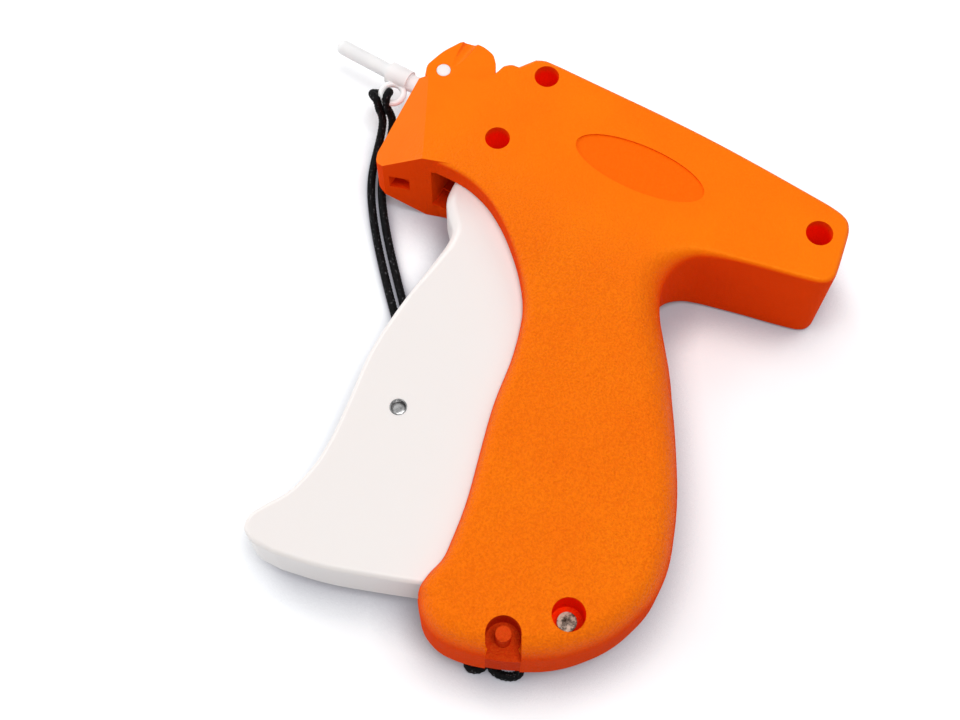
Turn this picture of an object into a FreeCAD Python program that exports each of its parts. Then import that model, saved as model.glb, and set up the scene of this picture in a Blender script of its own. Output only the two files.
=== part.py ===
import FreeCAD, Part
import math
import os
from FreeCAD import Vector

# Garment tag attacher lying on its side, millimetres.
# X runs from the needle to the rear, Y from the grip's foot to the barrel's top, Z through the width.
# The origin is on the resting side face, under the axis that the trigger turns on.

doc = FreeCAD.newDocument("TagAttacher")
sheet = doc.addObject("Spreadsheet::Sheet", "Sizes")

SIZES = [
    ("casing_width", 29.0, "both shells together"),
    ("barrel_rear", 88.3, "rearmost point of the barrel"),
    ("grip_foot", 112.1, "lowest point of the grip below the trigger axis"),
    ("grip_inset", 2.4, "how far the grip's flat lies inside the barrel's"),
    ("wall", 2.2, "casing wall"),
    ("edge_round", 1.2, "rounding of the barrel's edges"),
    ("grip_front_round", 3.2, "rounding of the grip's edges beside the trigger"),
    ("grip_back_round", 6.0, "rounding of the grip's back and foot"),
    ("saddle_round", 8.0, "rounding under the barrel behind the grip"),
    ("corner_fill", 6.0, "how far the cavity keeps from those rounded corners"),
    ("label_length", 34.0, "bare oval recess on the barrel"),
    ("label_height", 12.6, ""),
    ("label_depth", 0.4, ""),
    ("screw_hole_radius", 3.1, "front and top screw holes"),
    ("rear_hole_radius", 3.3, "rear screw hole"),
    ("grip_hole_radius", 3.8, "grip screw hole"),
    ("boss_wall", 1.1, "wall of a screw boss"),
    ("boss_floor", 1.5, "material under a screw head"),
    ("grip_boss_floor", 2.7, "material under the grip's screw head"),
    ("screw_head_radius", 2.25, ""),
    ("screw_head_height", 1.8, ""),
    ("screw_shank_radius", 1.3, ""),
    ("screw_length", 11.0, "below the head"),
    ("running_gap", 0.06, "radial clearance of a turning fit"),
    ("loose_gap", 0.3, "clearance between pieces that pass each other"),
    ("trigger_width", 16.0, ""),
    ("trigger_wall", 2.0, "side and front skin of the hollow trigger"),
    ("trigger_neck_round", 2.6, "rounding of the trigger's neck"),
    ("trigger_round", 1.2, "rounding of its front and toe"),
    ("trigger_eye_radius", 6.4, "ring round the front boss"),
    ("trigger_sweep", 115.2, "radius that the casing leaves open for the trigger"),
    ("rivet_radius", 2.05, "steel cross pin of the trigger"),
    ("lever_thickness", 4.0, "drive lever plate"),
    ("lever_eye_radius", 5.0, ""),
    ("lever_arm_half", 2.0, "half the width of the drive lever's arms"),
    ("pivot_radius", 1.5, "drive lever pin"),
    ("drive_pin_radius", 1.5, "pin that the trigger pushes the lever with"),
    ("slide_pin_radius", 1.5, "pin that the lever moves the slide with"),
    ("slot_play", 0.9, "play of the slide pin in the lever's fork"),
    ("barrel_axis", 10.0, "height of the needle's axis above the trigger axis"),
    ("slide_length", 17.0, ""),
    ("slide_height", 6.4, ""),
    ("slide_width", 12.0, ""),
    ("rod_radius", 0.6, "push rod"),
    ("rod_length", 52.0, ""),
    ("needle_radius", 1.0, ""),
    ("needle_bore_radius", 0.75, ""),
    ("needle_length", 29.0, ""),
    ("hub_radius", 2.3, "needle hub where it leaves the nose"),
    ("cap_radius", 2.0, "slim end of the needle cap"),
    ("cap_collar_radius", 2.95, ""),
    ("cap_length", 22.5, ""),
    ("eyelet_radius", 2.9, "lanyard ring of the cap"),
    ("eyelet_wire", 0.85, ""),
    ("lock_width", 13.0, "needle lock lever across the nose"),
    ("lock_pin_radius", 1.8, ""),
    ("channel_width", 4.3, "tag clip channel along the barrel"),
    ("channel_depth", 15.0, "tag clip channel through the width"),
    ("wheel_radius", 5.0, "feed wheel at the tooth tips"),
    ("wheel_thickness", 3.0, ""),
    ("axle_radius", 1.0, "feed wheel axle and pawl pin"),
    ("spring_radius", 2.1, "outside of the return spring"),
    ("post_radius", 1.75, "lanyard post"),
    ("notch_radius", 3.95, "lanyard notch round the post"),
    ("notch_depth", 7.1, ""),
    ("cord_radius", 1.05, "lanyard cord"),
]

for row, (alias, value, note) in enumerate(SIZES, start=1):
    sheet.set("A%d" % row, note or alias.replace("_", " "))
    sheet.set("B%d" % row, str(value))
    sheet.setAlias("B%d" % row, alias)
doc.recompute()


def size(alias):
    return float(sheet.get(alias))


# Places that several pieces share

WIDTH = size("casing_width")
MID = WIDTH / 2
AXIS = size("barrel_axis")
REAR = size("barrel_rear")
GRIP_TOP = WIDTH - size("grip_inset")
BOSS_TOP = WIDTH - 0.5
PIN_SKIN = 1.2
DRAWN_AXIS = 10.0
DRAWN_FOOT = 112.1
GRIP_START = -14.0
STRETCH = (size("grip_foot") + GRIP_START) / (DRAWN_FOOT + GRIP_START)


def ease(low, high, value):
    """0 below low, 1 above high and a smooth rise between; low may be the larger one."""
    share = max(0.0, min(1.0, (value - low) / (high - low)))
    return share * share * (3 - 2 * share)


def fitted(y):
    """Where a drawn height lies once the barrel's axis and the grip's length are set."""
    if y < GRIP_START:
        return GRIP_START + (y - GRIP_START) * STRETCH
    return y + (AXIS - DRAWN_AXIS) * ease(-5, 5, y)


def spot(x, y):
    return Vector(x, fitted(y), 0)


FRONT_SCREW = Vector(0, 0, 0)
TOP_SCREW = spot(1.3, 21.8)
REAR_SCREW = spot(REAR - 8.7, 17.9)
GRIP_SCREW = spot(74.6, -92.9)
LEVER_PIVOT = spot(48, -48)
DRIVE_PIN = spot(62, -74)
SPRING_EYE = spot(66, -66)
RIVET = spot(15.9, -70.6)
LOCK_PIVOT = spot(-24.9, 14.3)
WHEEL_AXIS = Vector(-1.6, AXIS + 2.1, 0)
PAWL_AXIS = Vector(10.9, AXIS + 8.6, 0)
EYELET = Vector(-34.9, AXIS - 2.4 - size("eyelet_radius"), MID)
LANYARD_POST = spot(64.6, -103.9)
NOTCH_OUT = Vector(0.522, -0.853, 0).normalize()
NOTCH_SIDE = Vector(-NOTCH_OUT.y, NOTCH_OUT.x, 0)
CHANNEL_FRONT = -11.0
CHANNEL_REAR = CHANNEL_FRONT + size("channel_width")
SLIDE_PIN = Vector(56.2, AXIS, 0)
HOLES = [
    (FRONT_SCREW, "screw_hole_radius", "boss_floor"),
    (TOP_SCREW, "screw_hole_radius", "boss_floor"),
    (REAR_SCREW, "rear_hole_radius", "boss_floor"),
    (GRIP_SCREW, "grip_hole_radius", "grip_boss_floor"),
]


# Small helpers

def line(start, end):
    return Part.LineSegment(start, end).toShape()


def smooth_run(points, share=0.46):
    """Straight edges joined by tangent arcs, each arc as large as its two edges allow."""
    edges = []
    start = points[0]
    for before, corner, after in zip(points, points[1:], points[2:]):
        back = (before - corner).normalize()
        ahead = (after - corner).normalize()
        reach = share * min((before - corner).Length, (after - corner).Length)
        middle = (back + ahead).normalize()
        half_inside = middle.getAngle(back)
        radius = reach * math.tan(half_inside)
        centre = corner + middle * math.hypot(reach, radius)
        arc_start = corner + back * reach
        arc_end = corner + ahead * reach
        edges.append(line(start, arc_start))
        edges.append(Part.Arc(arc_start, centre - middle * radius, arc_end).toShape())
        start = arc_end
    edges.append(line(start, points[-1]))
    return edges


def flat(pairs, level=0.0):
    return [Vector(x, fitted(y), level) for x, y in pairs]


def face_of(edges):
    return Part.Face(Part.Wire(Part.__sortEdges__(edges)))


def polygon(pairs, level, height):
    corners = [Vector(x, y, level) for x, y in pairs]
    return Part.Face(Part.makePolygon(corners + corners[:1])).extrude(Vector(0, 0, height))


def rod(centre, radius, low, high):
    return Part.makeCylinder(radius, high - low, Vector(centre.x, centre.y, low))


def block(low, high):
    return Part.makeBox(high[0] - low[0], high[1] - low[1], high[2] - low[2], Vector(*low))


def between(first, second, share):
    return first + (second - first) * share


def link(start, end, half, low, high):
    """A flat bar with rounded ends from one centre to the other."""
    along = (end - start).normalize()
    across = Vector(-along.y, along.x, 0) * half
    corners = [start + across, end + across, end - across, start - across]
    bar = polygon([(p.x, p.y) for p in corners], low, high - low)
    return bar.fuse([rod(start, half, low, high), rod(end, half, low, high)])


def mirrored(shape):
    """The same shape on the other side of the parting plane."""
    return shape.mirror(Vector(0, 0, MID), Vector(0, 0, 1))


def keep(name, shape):
    """A sub-part whose shape is worked out here."""
    piece = doc.addObject("Part::Feature", name)
    piece.Label = name
    piece.Shape = shape.removeSplitter() if shape.ShapeType != "Compound" else shape
    piece.Placement = FreeCAD.Placement()
    return piece


def rounded(name, solid, radius_at, picked):
    """The solid with the picked edges rounded, each from its radius at one end to that at the other."""
    base = doc.addObject("Part::Feature", name + "_block")
    base.Shape = solid
    fillet = doc.addObject("Part::Fillet", name + "_rounded")
    fillet.Base = base
    rows = []
    for number, edge in enumerate(solid.Edges, start=1):
        if picked(edge):
            rows.append((number, radius_at(edge.valueAt(edge.FirstParameter)),
                         radius_at(edge.valueAt(edge.LastParameter))))
    fillet.Edges = rows
    doc.recompute()
    return fillet.Shape


def body_pad(name, draw, low, length_expression):
    """A body with one pad whose sketch is drawn by draw(sketch) on the XY plane."""
    body = doc.addObject("PartDesign::Body", name)
    body.Label = name
    sketch = body.newObject("Sketcher::SketchObject", name + "_outline")
    plane = [o for o in body.Origin.OriginFeatures if o.Role == "XY_Plane"][0]
    sketch.AttachmentSupport = [(plane, "")]
    sketch.MapMode = "FlatFace"
    draw(sketch)
    doc.recompute()
    pad = body.newObject("PartDesign::Pad", name + "_pad")
    pad.Profile = sketch
    pad.setExpression("Length", length_expression)
    body.Placement = FreeCAD.Placement(Vector(0, 0, low), FreeCAD.Rotation())
    doc.recompute()
    return body


def cylinder(name, radius_expression, height_expression, placement):
    piece = doc.addObject("Part::Cylinder", name)
    piece.Label = name
    piece.setExpression("Radius", radius_expression)
    piece.setExpression("Height", height_expression)
    piece.Placement = placement
    return piece


# Outline of both shells at the parting plane

def casing_edges(level):
    nose_top = flat([(-26.5, 5.5), (-19.4, 9.1), (-12.0, 12.5)], level)
    nose_step = flat([(-12.0, 12.5), (-10.0, 16.0), (-9.5, 19.6)], level)
    nose_bump = flat([(-9.5, 19.6), (-8.3, 20.8), (-6.4, 21.0)], level)
    top_ramp = flat([(-6.4, 21.0), (-3.8, 25.0)], level)
    round_the_gun = flat([
        (-3.8, 25.0), (-1.6, 26.2), (3, 26.5), (15, 26.9), (30, 27.5), (45, 27.7), (60, 27.3),
        (REAR - 10, 26.4), (REAR - 6.5, 25.9), (REAR - 4.2, 24.9), (REAR - 2.8, 22.6),
        (REAR - 1.9, 18.6), (REAR - 0.6, 12.2), (REAR - 0.2, 9.6), (REAR - 0.9, 7.6),
        (REAR - 2.8, 6.3), (REAR - 8, 4.8), (70, 2.3), (61.8, -0.1), (57.0, -2.2),
        (54.2, -5.4), (53.2, -9.5), (54.3, -13.8), (56.9, -18.6), (61.0, -23.6), (65.8, -29.5),
        (74.8, -43.3), (83.1, -57.4), (88.3, -70.9), (89.2, -79.5), (86.0, -91.1),
        (77.9, -101.6), (67.4, -108.0), (58.4, -111.3),
        (52.4, -112.1), (47.0, -110.2), (43.2, -105.6), (43.2, -101.0),
        (44.4, -96.2), (42.2, -83.2), (37.8, -69.4), (34.5, -58.5), (32.3, -45.4),
        (28.4, -34.3), (22.0, -26.4), (13.8, -19.3), (6.4, -14.9), (-1.4, -12.9), (-9.5, -13.4),
    ], level)
    nose_floor = flat([(-9.5, -13.4), (-22.7, -18.2)], level)
    nose_corner = flat([(-22.7, -18.2), (-25.2, -17.6), (-26.2, -15.0)], level)
    nose_front = flat([(-26.2, -15.0), (-26.5, 5.5)], level)
    runs = [nose_top, nose_step, nose_bump, top_ramp, round_the_gun, nose_floor,
            nose_corner, nose_front]
    return [edge for run in runs for edge in smooth_run(run)]


def above_plane(points):
    """A big block over the plane through three points, for cutting the face down."""
    first, second, third = points
    normal = (second - first).cross(third - first).normalize()
    if normal.z < 0:
        normal = normal * -1
    slab = Part.makeBox(400, 400, 60, Vector(-200, -200, 0))
    slab.Placement = FreeCAD.Placement(first, FreeCAD.Rotation(Vector(0, 0, 1), normal))
    return slab


def facet_cuts(sink):
    """What lies above the nose facet and above the fall towards the grip, both sunk by a wall or nothing."""
    down = Vector(0, 0, sink)
    nose = [Vector(-24.5, fitted(7), WIDTH), Vector(-13, -14, WIDTH), Vector(-25.5, fitted(-18), WIDTH - 9)]
    high = WIDTH - sink
    low = GRIP_TOP - sink
    fall = smooth_run([Vector(-60, 80, high), Vector(-60, fitted(-20), high),
                       Vector(-60, fitted(-44), low), Vector(-60, -160, low)])
    edges = fall + [line(Vector(-60, -160, low), Vector(-60, -160, 90)),
                    line(Vector(-60, -160, 90), Vector(-60, 80, 90)),
                    line(Vector(-60, 80, 90), Vector(-60, 80, high))]
    return [above_plane([p - down for p in nose]), face_of(edges).extrude(Vector(200, 0, 0))]


def rim_radius(point):
    """Small on the barrel, larger on the grip, largest under the barrel behind the grip."""
    if point.x > 50 and point.y > fitted(-103):
        saddle = between(size("edge_round"), size("saddle_round"), ease(fitted(2), -10, point.y))
        return between(saddle, size("grip_back_round"), ease(fitted(-25), fitted(-55), point.y))
    foot = max(ease(44, 50, point.x), ease(fitted(-103), fitted(-109), point.y))
    grip = between(size("grip_front_round"), size("grip_back_round"), foot)
    return between(size("edge_round"), grip, ease(GRIP_START, fitted(-45), point.y))


def rounded_outside():
    """The upper half of the gun as a solid block with its upper edges rounded."""
    outline = casing_edges(MID)
    solid = face_of(outline).extrude(Vector(0, 0, MID))
    for tool in facet_cuts(0):
        solid = solid.cut(tool)
    rim = Part.Wire(Part.__sortEdges__(outline))

    def on_upper_rim(edge):
        middle = edge.valueAt((edge.FirstParameter + edge.LastParameter) / 2)
        if min(v.Z for v in edge.Vertexes) < MID + 1 or middle.x < -8:
            return False
        return Part.Vertex(middle.x, middle.y, MID).distToShape(rim)[0] < 0.02

    return rounded("casing", solid.removeSplitter(), rim_radius, on_upper_rim)


def shell_cavity():
    """Room inside one shell, stepped so that the rounded corners keep their wall."""
    outline = face_of(casing_edges(MID))
    fill = size("corner_fill")
    upper = outline.makeOffset2D(-fill).extrude(Vector(0, 0, MID - size("wall")))
    lower = outline.makeOffset2D(-size("wall")).extrude(Vector(0, 0, MID - size("wall")))
    zone = flat([(-30, 60), (40, 60), (44, -30), (56, -70), (60, -96), (50, -102), (-30, -102)])
    front_zone = Part.Face(Part.makePolygon(zone + zone[:1])).extrude(Vector(0, 0, WIDTH))
    beside_trigger = lower.common(front_zone)
    for tool in facet_cuts(fill):
        lower = lower.cut(tool)
    room = lower.fuse([upper, beside_trigger])
    for tool in facet_cuts(size("wall")):
        room = room.cut(tool)
    nose_block = block((-60, -60, 0), (CHANNEL_REAR + 0.8, 60, 60))
    return room.cut(nose_block)


def label_recess():
    """The bare oval recess on the barrel's side."""
    oval = Part.Ellipse(Vector(0, 0, 0), size("label_length") / 2, size("label_height") / 2).toShape()
    floor = WIDTH - size("label_depth")
    shape = Part.Face(Part.Wire(oval)).extrude(Vector(0, 0, 5))
    shape.rotate(Vector(0, 0, 0), Vector(0, 0, 1), 4.5)
    shape.translate(Vector(34, AXIS + 1.0, floor))
    return shape


def trigger_slot():
    """Where the trigger and its side walls pass through the front of the grip."""
    toe = spot(46.4, -101.8)
    reach = max(size("trigger_sweep") + size("grip_foot") - DRAWN_FOOT, toe.Length + size("loose_gap"))
    high = MID + size("trigger_width") / 2 + size("loose_gap")
    inside = flat([(CHANNEL_FRONT, -8.6), (6, -10.6), (15, -15), (24, -23), (30, -30), (36.5, -45),
                   (38.5, -58), (42, -69), (46.5, -83), (48.6, -96)], MID)
    low_x = 48.0
    corner = Vector(low_x, -math.sqrt(reach ** 2 - low_x ** 2), MID)
    front = Vector(CHANNEL_FRONT, -math.sqrt(reach ** 2 - CHANNEL_FRONT ** 2), MID)
    bottom = Vector(reach * math.sin(0.2), -reach * math.cos(0.2), MID)
    edges = [line(a, b) for a, b in zip(inside, inside[1:] + [corner])]
    edges.append(Part.Arc(corner, bottom, front).toShape())
    edges.append(line(front, inside[0]))
    return face_of(edges).extrude(Vector(0, 0, high - MID))


def nose_room():
    """Seat of the needle hub and the lock lever between the nose walls, and the clip channel."""
    half = size("lock_width") / 2 + size("loose_gap")
    seat = block((-60, AXIS - 5.6, MID), (-13.0, 60, MID + half))
    lever_room = block((-14.0, AXIS + 1.4, MID), (-11.9, 60, MID + half))
    channel_half = size("channel_depth") / 2
    channel = block((CHANNEL_FRONT, -60, MID), (CHANNEL_REAR + 0.9, 60, MID + channel_half))
    trigger_half = size("trigger_width") / 2 + size("loose_gap")
    mouth = block((CHANNEL_FRONT, -20, MID), (-1, -8.6, MID + trigger_half))
    neck_room = block((-6.6, -12, MID), (-1, -4, MID + trigger_half))
    eye_room = rod(FRONT_SCREW, size("trigger_eye_radius") + size("loose_gap"), MID, MID + trigger_half)
    boss = rod(FRONT_SCREW, size("screw_hole_radius") + size("boss_wall"), MID, WIDTH)
    trigger_room = neck_room.fuse(eye_room).cut(boss)
    rod_way = Part.makeCylinder(1.2, 30, Vector(-30, AXIS, MID), Vector(1, 0, 0))
    knife_seat = block((CHANNEL_FRONT - 0.6, AXIS - 6.0, MID), (CHANNEL_FRONT, AXIS - 1.3, MID + 2.5))
    recess = block((-21.4, -30, MID), (-16.4, -14.2, MID + 2.5))
    return [seat, lever_room, channel, mouth, trigger_room, rod_way, knife_seat, recess]


def bosses(side):
    """Screw bosses, lever bearing, rails and the lanyard block; side is 1 on the upper shell."""
    solids = []
    for centre, radius, _ in HOLES:
        solids.append(rod(centre, size(radius) + size("boss_wall"), MID, BOSS_TOP))
    trigger_side = MID + size("trigger_width") / 2 + size("loose_gap")
    solids.append(rod(LEVER_PIVOT, size("pivot_radius") + 1.8, trigger_side, BOSS_TOP))
    half_height = size("slide_height") / 2 + size("running_gap") * 2
    rail_low = MID + size("slide_width") / 2 - 1.6
    solids.append(block((8.6, AXIS + half_height, rail_low), (70, AXIS + half_height + 1.6, BOSS_TOP)))
    solids.append(block((8.6, AXIS - half_height - 1.6, rail_low), (70, AXIS - half_height, BOSS_TOP)))
    solids.append(rod(LANYARD_POST, size("notch_radius") + 2.0, MID, GRIP_TOP - 0.3))
    if side > 0:
        axle_low = MID + 2 + size("wheel_thickness") + 0.2
        solids.append(rod(WHEEL_AXIS, size("axle_radius") + 1.2, axle_low, BOSS_TOP))
        solids.append(rod(PAWL_AXIS, size("axle_radius") + 1.2, axle_low, BOSS_TOP))
    return solids


def bore_cuts(side):
    """Screw holes, pin seats and the lanyard notch."""
    cuts = []
    for centre, radius, floor in HOLES:
        if side > 0:
            cuts.append(rod(centre, size(radius), MID + size(floor), WIDTH + 5))
            cuts.append(rod(centre, size("screw_shank_radius") + 0.1, MID - 1, WIDTH))
        else:
            cuts.append(rod(centre, size("screw_shank_radius") + 0.02, MID - 1, WIDTH - 3.5))
    cuts.append(rod(LEVER_PIVOT, size("pivot_radius"), MID, GRIP_TOP - PIN_SKIN))
    if side > 0:
        cuts.append(rod(WHEEL_AXIS, size("axle_radius"), MID, WIDTH - PIN_SKIN))
        cuts.append(rod(PAWL_AXIS, size("axle_radius"), MID, WIDTH - PIN_SKIN))
    notch_low = GRIP_TOP - size("notch_depth")
    far = LANYARD_POST + NOTCH_OUT * 14
    notch = link(LANYARD_POST, far, size("notch_radius"), notch_low, WIDTH + 1)
    post = rod(LANYARD_POST, size("post_radius"), notch_low - 1, GRIP_TOP - 0.5)
    cuts.append(notch.cut(post))
    return cuts


def shell(outside, side):
    hollow = outside.cut(shell_cavity())
    for boss in bosses(side):
        hollow = hollow.fuse(boss.common(outside))
    cuts = [trigger_slot().cut(rod(FRONT_SCREW, size("screw_hole_radius") + size("boss_wall"), 0, 60))]
    cuts += nose_room() + bore_cuts(side)
    if side > 0:
        cuts.append(label_recess())
    for cut in cuts:
        hollow = hollow.cut(cut)
    return hollow.removeSplitter()


# Trigger with its hollow, its eye on the front boss and the arms that carry the drive pin

def trigger_shape():
    half = size("trigger_width") / 2
    skin = size("trigger_wall")
    front = flat([(-5.0, -3.0), (-5.0, -13.5), (-4.0, -18.2), (-1.0, -21.6), (1.9, -24.0),
                  (2.7, -28.0), (2.5, -37.0), (1.8, -50.0), (2.3, -63.0), (4.5, -73.2),
                  (6.5, -84.1), (7.1, -92.5), (5.6, -101.0), (2.4, -106.5), (0.8, -110.0),
                  (1.4, -113.4), (5.0, -115.1), (11.0, -114.6)], MID - half)
    bottom = flat([(11.0, -114.6), (22.1, -111.9), (36.7, -106.0), (46.4, -101.8)], MID - half)
    rear = flat([(46.4, -101.8), (47.4, -97.0), (46.0, -84.0), (41.0, -69.0), (37.0, -58.0),
                 (36.0, -48.0), (32.0, -36.0), (25.0, -27.0), (16.0, -18.0), (9.0, -12.0),
                 (5.6, -3.0)], MID - half)
    edges = smooth_run(front) + smooth_run(bottom) + smooth_run(rear) + [line(rear[-1], front[0])]
    skin_side = face_of(edges).extrude(Vector(0, 0, 2 * half))
    visible = Part.Wire(Part.__sortEdges__(smooth_run(front) + smooth_run(bottom)))

    def on_front_rim(edge):
        middle = edge.valueAt((edge.FirstParameter + edge.LastParameter) / 2)
        if abs(edge.Vertexes[0].Z - edge.Vertexes[-1].Z) > 0.01 or abs(middle.x - 46.4) < 0.5:
            return False
        return Part.Vertex(middle.x, middle.y, MID - half).distToShape(visible)[0] < 0.02

    def front_radius(point):
        neck = ease(fitted(-45), fitted(-22), point.y)
        return between(size("trigger_round"), size("trigger_neck_round"), neck)

    skin_side = rounded("trigger", skin_side, front_radius, on_front_rim)
    skin_side = skin_side.fuse(rod(FRONT_SCREW, size("trigger_eye_radius"), MID - half, MID + half))
    hollow = flat([(14, -13), (5 + skin - 2, -21.5), (2.9 + skin, -27), (2.6 + skin, -37),
                   (1.9 + skin, -50), (2.5 + skin, -63), (4.8 + skin, -73), (6.8 + skin, -84),
                   (7.3 + skin, -92.5), (5.9 + skin, -101), (2.9 + skin, -106.5),
                   (2.0 + skin, -110.5 + skin - 2), (6, -112.6 + skin - 2),
                   (11, -112.2 + skin - 2), (22, -109.6 + skin - 2), (37, -103.7 + skin - 2),
                   (60, -94), (70, -60), (50, -20), (30, -5)], MID - half + skin)
    room = Part.Face(Part.makePolygon(hollow + hollow[:1])).extrude(Vector(0, 0, 2 * (half - skin)))
    shape = skin_side.cut(room)
    arm_inner = size("lever_thickness") / 2 + 0.7
    root = spot(43.5, -86)
    for low, high in ((MID - half + skin / 2, MID - arm_inner), (MID + arm_inner, MID + half - skin / 2)):
        shape = shape.fuse(link(root, DRIVE_PIN, 4.0, low, high))
    eye_bore = size("screw_hole_radius") + size("boss_wall") + size("running_gap")
    shape = shape.cut(rod(FRONT_SCREW, eye_bore, 0, WIDTH))
    shape = shape.cut(rod(DRIVE_PIN, size("drive_pin_radius") + 0.02, 0, WIDTH))
    return shape.cut(rod(RIVET, size("rivet_radius") + 0.02, 0, WIDTH))


# Drive lever: one arm pushed by the trigger, the other forked round the slide's pin

def lever_shape():
    low = MID - size("lever_thickness") / 2
    high = MID + size("lever_thickness") / 2
    half = size("lever_arm_half")
    elbow = Vector(44.5, -12, 0)
    up = Vector(SLIDE_PIN - LEVER_PIVOT).normalize()
    down = Vector(DRIVE_PIN - LEVER_PIVOT).normalize()
    drive_reach = (DRIVE_PIN - LEVER_PIVOT).Length
    longer = (SLIDE_PIN - LEVER_PIVOT).Length - math.hypot(8.2, 58)
    fork_half = size("slide_pin_radius") + size("slot_play") + half
    fork_start = LEVER_PIVOT + up * (55.0 + longer)
    arms = [link(LEVER_PIVOT, elbow, half + 0.6, low, high),
            link(elbow, fork_start, half, low, high),
            link(fork_start, LEVER_PIVOT + up * (66.5 + longer), fork_half, low, high),
            link(LEVER_PIVOT, LEVER_PIVOT + down * (drive_reach + 1), 3.6, low, high),
            link(LEVER_PIVOT, SPRING_EYE, 2.6, low, high)]
    shape = rod(LEVER_PIVOT, size("lever_eye_radius"), low, high).fuse(arms)
    fork_slot = link(LEVER_PIVOT + up * (57.3 + longer), LEVER_PIVOT + up * (80 + longer), fork_half - half,
                     low, high)
    drive_slot = link(LEVER_PIVOT + down * (drive_reach - 1.8), LEVER_PIVOT + down * (drive_reach + 1.2),
                      size("drive_pin_radius") + 0.25, low, high)
    shape = shape.cut([fork_slot, drive_slot, rod(SPRING_EYE, 0.9, low, high)])
    return shape.cut(rod(LEVER_PIVOT, size("pivot_radius") + size("running_gap"), low, high))


# Screws: head with a cross recess, plain shank

def screw(centre, floor):
    seat = MID + size(floor)
    top = seat + size("screw_head_height")
    head = rod(centre, size("screw_head_radius"), seat, top)
    bar = block((-1.5, -0.35, top - 1.0), (1.5, 0.35, top + 1))
    cross = bar.fuse(block((-0.35, -1.5, top - 1.0), (0.35, 1.5, top + 1)))
    cross.translate(centre)
    return head.cut(cross).fuse(rod(centre, size("screw_shank_radius"), seat - size("screw_length"), seat))


# Return spring as a plain sleeve with a hook at each end

def spring_shape():
    reach = (GRIP_SCREW - SPRING_EYE).Length
    along = (GRIP_SCREW - SPRING_EYE).normalize()
    boss = size("grip_hole_radius") + size("boss_wall")
    start = SPRING_EYE + along * 4.6
    body_length = reach - boss - 4.6 - 4.2
    centre = Vector(start.x, start.y, MID)
    sleeve = Part.makeCylinder(size("spring_radius"), body_length, centre, along)
    sleeve = sleeve.cut(Part.makeCylinder(size("spring_radius") - 0.7, body_length, centre, along))
    top = MID + size("spring_radius")
    hook = link(SPRING_EYE, start + along * 0.6, 0.4, top - 0.1, top + 0.7)
    hook = hook.fuse(rod(SPRING_EYE, 0.4, MID - 2.6, top + 0.7))
    tail_start = start + along * (body_length - 0.5)
    ring = rod(GRIP_SCREW, boss + 0.6, MID - 0.4, MID + 0.4)
    ring = ring.cut(rod(GRIP_SCREW, boss + 0.07, MID - 0.4, MID + 0.4))
    tail = link(tail_start, GRIP_SCREW - along * (boss + 0.5), 0.4, MID - 0.4, MID + 0.4)
    plug = Part.makeCylinder(size("spring_radius") - 0.2, 0.6, centre + along * (body_length - 0.6), along)
    return sleeve.fuse([hook, plug, tail, ring])


# Needle end: hub with its trunnion, cap with its lanyard ring, lock lever

def hub_shape():
    wide = size("lock_width") / 2
    narrow = wide - 2.9
    spigot = Part.makeCylinder(size("hub_radius"), 12, Vector(-36.5, AXIS, MID), Vector(1, 0, 0))
    seat = block((-21.0, AXIS - 5.3, MID - wide), (-14.4, AXIS + 3.4, MID + wide))
    stem = block((-27.4, AXIS - 5.3, MID - narrow), (-20.9, AXIS + 3.4, MID + narrow))
    tower = block((-27.4, AXIS, MID - narrow), (-21.6, AXIS + 6.4, MID + narrow))
    pin = rod(LOCK_PIVOT, size("lock_pin_radius"), MID - wide, MID + wide)
    bore = Part.makeCylinder(size("needle_radius") + 0.03, 40, Vector(-40, AXIS, MID), Vector(1, 0, 0))
    return spigot.fuse([seat, stem, tower, pin]).cut(bore)


def cap_shape():
    mouth = -33.0
    tip = mouth - size("cap_length")
    collar_length = 6.0
    ahead = Vector(-1, 0, 0)
    centre = Vector(mouth, AXIS, MID)
    tube_length = size("cap_length") - size("cap_radius")
    tube = Part.makeCylinder(size("cap_radius"), tube_length, centre, ahead)
    collar = Part.makeCylinder(size("cap_collar_radius"), collar_length, centre, ahead)
    dome = Part.makeSphere(size("cap_radius"), Vector(tip + size("cap_radius"), AXIS, MID))
    eyelet = Part.makeTorus(size("eyelet_radius"), size("eyelet_wire"), EYELET)
    solid_cap = tube.fuse(dome).fuse(collar).fuse(eyelet)
    hub_room = Part.makeCylinder(size("hub_radius") + size("running_gap"), 7.6, centre - ahead * 4, ahead)
    needle_room = Part.makeCylinder(size("needle_radius") + 0.3, size("cap_length") - 1.8, centre, ahead)
    return solid_cap.cut(hub_room).cut(needle_room)


def lock_lever_shape():
    wide = size("lock_width") / 2
    low = MID - wide
    pivot = LOCK_PIVOT
    crown = flat([(-28.2, 10.6), (-29.4, 13.4), (-28.1, 19.0), (-25.6, 24.0), (-23.6, 25.5),
                  (-19.5, 25.8), (-16.2, 25.0), (-14.0, 22.6), (-12.2, 18.4), (-12.4, 13.8)], low)
    edges = smooth_run(crown, 0.3)
    inner_corner = Vector(pivot.x, AXIS + 3.8, low)
    front_corner = Vector(pivot.x, AXIS + 0.6, low)
    edges += [line(crown[-1], inner_corner), line(inner_corner, front_corner), line(front_corner, crown[0])]
    shape = face_of(edges).extrude(Vector(0, 0, 2 * wide))
    shape = shape.fuse(rod(pivot, 3.7, low, low + 2 * wide))
    inner = wide - 2.6
    room = block((-40, 0, MID - inner), (pivot.x, AXIS + 7.5, MID + inner))
    room = room.fuse([rod(pivot, 4.6, MID - inner, MID + inner)])
    shape = shape.cut(room)
    return shape.cut(rod(pivot, size("lock_pin_radius") + size("running_gap"), 0, WIDTH))


# Lanyard: both strands and the turn round the lower shell's post are one cord

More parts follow.
